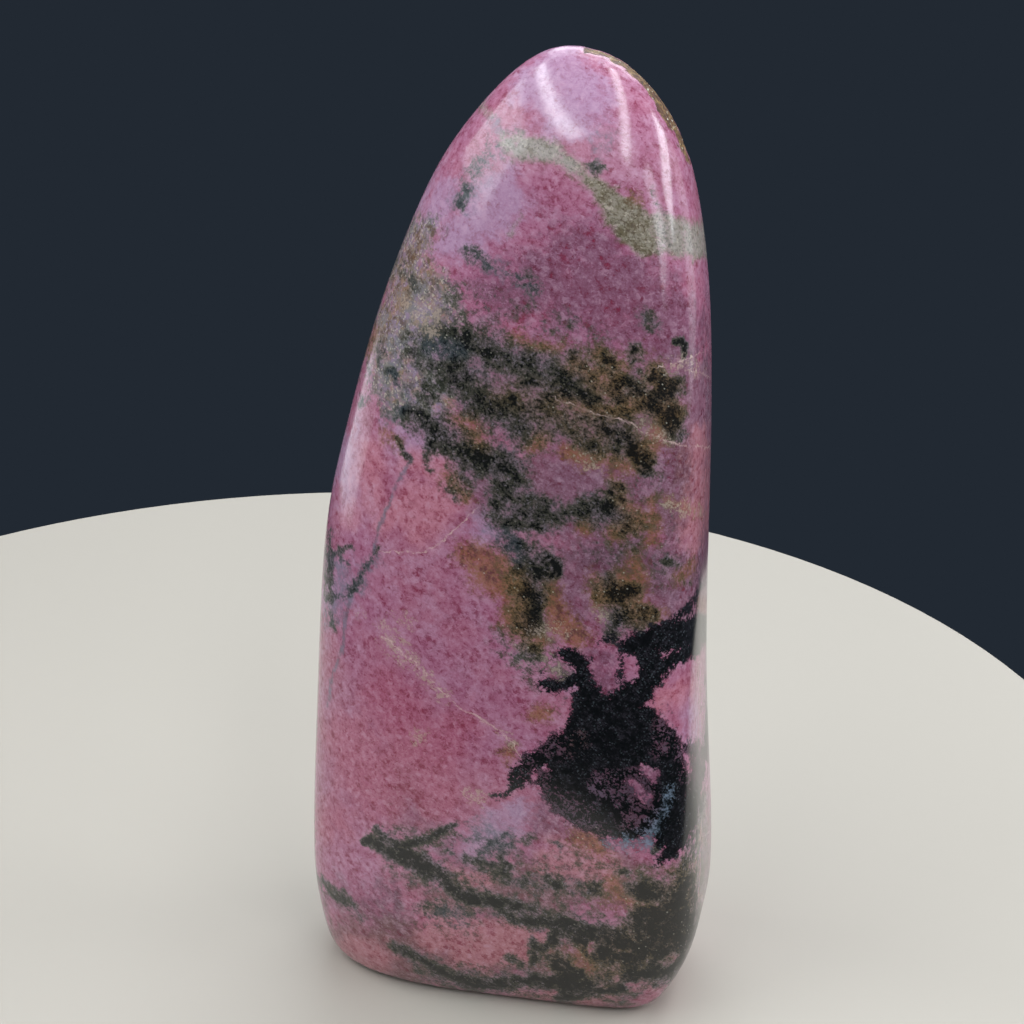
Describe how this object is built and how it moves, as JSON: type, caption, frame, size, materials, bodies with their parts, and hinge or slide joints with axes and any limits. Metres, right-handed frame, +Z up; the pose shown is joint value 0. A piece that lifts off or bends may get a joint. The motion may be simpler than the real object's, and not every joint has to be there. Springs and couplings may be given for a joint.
{
  "type": "rhodonite freeform",
  "caption": "Upright polished freeform of rhodonite with a rounded, off-centre tip, standing on a flat sawn foot; a mineral ornament.",
  "frame": {"origin": "middle of the bounding box, on the plane of the foot", "axes": "+Z up towards the tip, X across the broad faces with +X to the steeper side, +Y from the front face to the back"},
  "size_m": [0.0648, 0.0406, 0.15],
  "materials": {
    "polished_rhodonite": "glossy polish on rose, pink and lilac stone, veined and blotched with black manganese oxide, olive-brown and rust"
  },
  "bodies": {
    "root": {"stone": "polished_rhodonite"}
  },
  "joints": []
}
